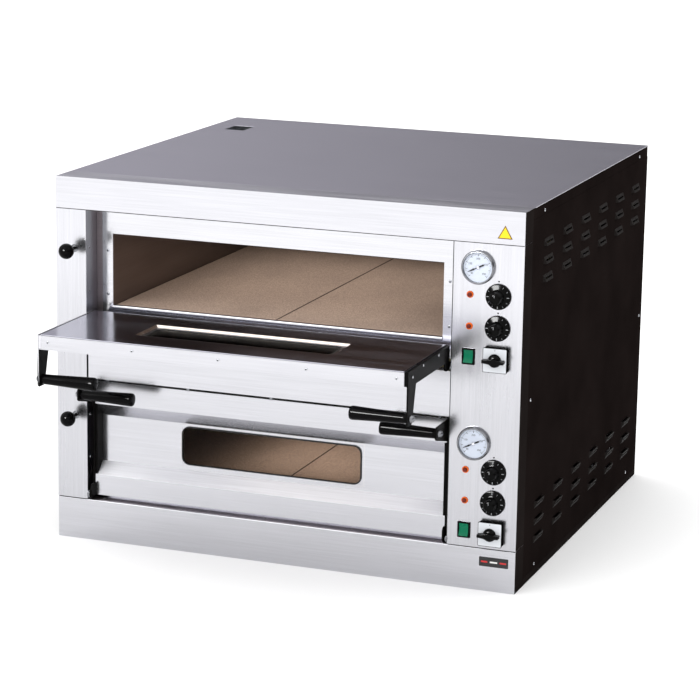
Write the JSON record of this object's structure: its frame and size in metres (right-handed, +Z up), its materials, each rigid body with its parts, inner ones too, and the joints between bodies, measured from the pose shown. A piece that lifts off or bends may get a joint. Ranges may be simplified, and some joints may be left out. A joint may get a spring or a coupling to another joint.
{
  "type": "countertop pizza oven",
  "caption": "Electric deck oven with stacked stone-floored baking chambers, drop-down windowed doors with cantilevered grips, and a column of dials, knobs, lamps and switches.",
  "frame": {"origin": "centre of the casing's footprint, on the underside of the base pan, which stands on the worktop", "axes": "+X to the oven's right seen from the front, -Y out of the doors, +Z up"},
  "size_m": [0.992, 1.1761, 0.75],
  "materials": {
    "stainless": "satin",
    "satin_top": "satin",
    "black_paint": "satin",
    "cheek_black": "gloss",
    "zinc_sheet": "satin",
    "liner_steel": "satin",
    "baking_stone": "matte",
    "element_steel": "satin",
    "mineral_wool": "matte",
    "chrome_bezel": "polished",
    "orange_lamp": "gloss",
    "pale_plastic": "satin",
    "door_glass": "gloss",
    "green_key": "gloss",
    "black_plastic": "gloss"
  },
  "bodies": {
    "casing": {"base_pan": "zinc_sheet", "side_panel_right": "black_paint", "side_panel_left": "black_paint", "top_cover": "satin_top", "rear_panel": "zinc_sheet", "front_top_band": "stainless", "front_bottom_band": "stainless", "left_stile": "stainless", "control_panel": "stainless", "middle_fascia": "stainless", "upper_chamber_frame": "stainless", "upper_chamber_liner": "liner_steel", "upper_left_stone": "baking_stone", "upper_right_stone": "baking_stone", "upper_bottom_element": "element_steel", "upper_top_element": "element_steel", "upper_dial_case": "chrome_bezel", "upper_top_heat_lamp": "orange_lamp", "upper_bottom_heat_lamp": "orange_lamp", "upper_main_switch_plate": "pale_plastic", "lower_chamber_frame": "stainless", "lower_chamber_liner": "liner_steel", "lower_left_stone": "baking_stone", "lower_right_stone": "baking_stone", "lower_bottom_element": "element_steel", "lower_top_element": "element_steel", "lower_dial_case": "chrome_bezel", "lower_top_heat_lamp": "orange_lamp", "lower_bottom_heat_lamp": "orange_lamp", "lower_main_switch_plate": "pale_plastic", "chamber_insulation": "mineral_wool", "flue_duct": "zinc_sheet", "cable_gland": "black_plastic", "terminal_block": "pale_plastic"},
    "upper_door": {"upper_door_outer_skin": "stainless", "upper_door_inner_skin": "stainless", "upper_door_glass": "door_glass", "upper_door_left_cheek": "cheek_black", "upper_door_right_cheek": "cheek_black", "upper_door_left_grip": "black_plastic", "upper_door_right_grip": "black_plastic"},
    "upper_vent": {"upper_vent_slide": "black_plastic"},
    "upper_needle": {"upper_dial_needle": "black_plastic"},
    "upper_top_knob": {"upper_top_heat_knob": "black_plastic"},
    "upper_bottom_knob": {"upper_bottom_heat_knob": "black_plastic"},
    "upper_rocker": {"upper_light_rocker": "green_key"},
    "upper_lever": {"upper_main_switch_lever": "black_plastic"},
    "lower_door": {"lower_door_outer_skin": "stainless", "lower_door_inner_skin": "stainless", "lower_door_glass": "door_glass", "lower_door_left_cheek": "cheek_black", "lower_door_right_cheek": "cheek_black", "lower_door_left_grip": "black_plastic", "lower_door_right_grip": "black_plastic"},
    "lower_vent": {"lower_vent_slide": "black_plastic"},
    "lower_needle": {"lower_dial_needle": "black_plastic"},
    "lower_top_knob": {"lower_top_heat_knob": "black_plastic"},
    "lower_bottom_knob": {"lower_bottom_heat_knob": "black_plastic"},
    "lower_rocker": {"lower_light_rocker": "green_key"},
    "lower_lever": {"lower_main_switch_lever": "black_plastic"}
  },
  "joints": [
    {"name": "upper_door_hinge", "type": "hinge", "parent": "casing", "child": "upper_door", "pos_m": [0, -0.459, 0.441], "axis": [-1, 0, 0], "range_deg": [0, 90]},
    {"name": "upper_vent_pull", "type": "slide", "parent": "casing", "child": "upper_vent", "axis": [0, -1, 0], "range_m": [0, 0.06]},
    {"name": "upper_top_heat_turn", "type": "hinge", "parent": "casing", "child": "upper_top_knob", "pos_m": [0.441, -0.466, 0.585], "axis": [0, 1, 0], "range_deg": [0, 300]},
    {"name": "upper_bottom_heat_turn", "type": "hinge", "parent": "casing", "child": "upper_bottom_knob", "pos_m": [0.441, -0.466, 0.5235], "axis": [0, 1, 0], "range_deg": [0, 300]},
    {"name": "upper_light_rock", "type": "hinge", "parent": "casing", "child": "upper_rocker", "pos_m": [0.3845, -0.465, 0.4635], "axis": [1, 0, 0], "range_deg": [0, 14]},
    {"name": "upper_main_switch_turn", "type": "hinge", "parent": "casing", "child": "upper_lever", "pos_m": [0.441, -0.479, 0.4635], "axis": [0, 1, 0], "range_deg": [0, 90]},
    {"name": "upper_needle_swing", "type": "hinge", "parent": "casing", "child": "upper_needle", "pos_m": [0.4, -0.472, 0.639], "axis": [0, 1, 0], "range_deg": [0, 270]},
    {"name": "lower_door_hinge", "type": "hinge", "parent": "casing", "child": "lower_door", "pos_m": [0, -0.459, 0.096], "axis": [1, 0, 0], "range_deg": [0, 90]},
    {"name": "lower_vent_pull", "type": "slide", "parent": "casing", "child": "lower_vent", "axis": [0, -1, 0], "range_m": [0, 0.06]},
    {"name": "lower_top_heat_turn", "type": "hinge", "parent": "casing", "child": "lower_top_knob", "pos_m": [0.441, -0.466, 0.24], "axis": [0, 1, 0], "range_deg": [0, 300]},
    {"name": "lower_bottom_heat_turn", "type": "hinge", "parent": "casing", "child": "lower_bottom_knob", "pos_m": [0.441, -0.466, 0.1785], "axis": [0, 1, 0], "range_deg": [0, 300]},
    {"name": "lower_light_rock", "type": "hinge", "parent": "casing", "child": "lower_rocker", "pos_m": [0.3845, -0.465, 0.1185], "axis": [1, 0, 0], "range_deg": [0, 14]},
    {"name": "lower_main_switch_turn", "type": "hinge", "parent": "casing", "child": "lower_lever", "pos_m": [0.441, -0.479, 0.1185], "axis": [0, 1, 0], "range_deg": [0, 90]},
    {"name": "lower_needle_swing", "type": "hinge", "parent": "casing", "child": "lower_needle", "pos_m": [0.4, -0.472, 0.294], "axis": [0, 1, 0], "range_deg": [0, 270]}
  ]
}
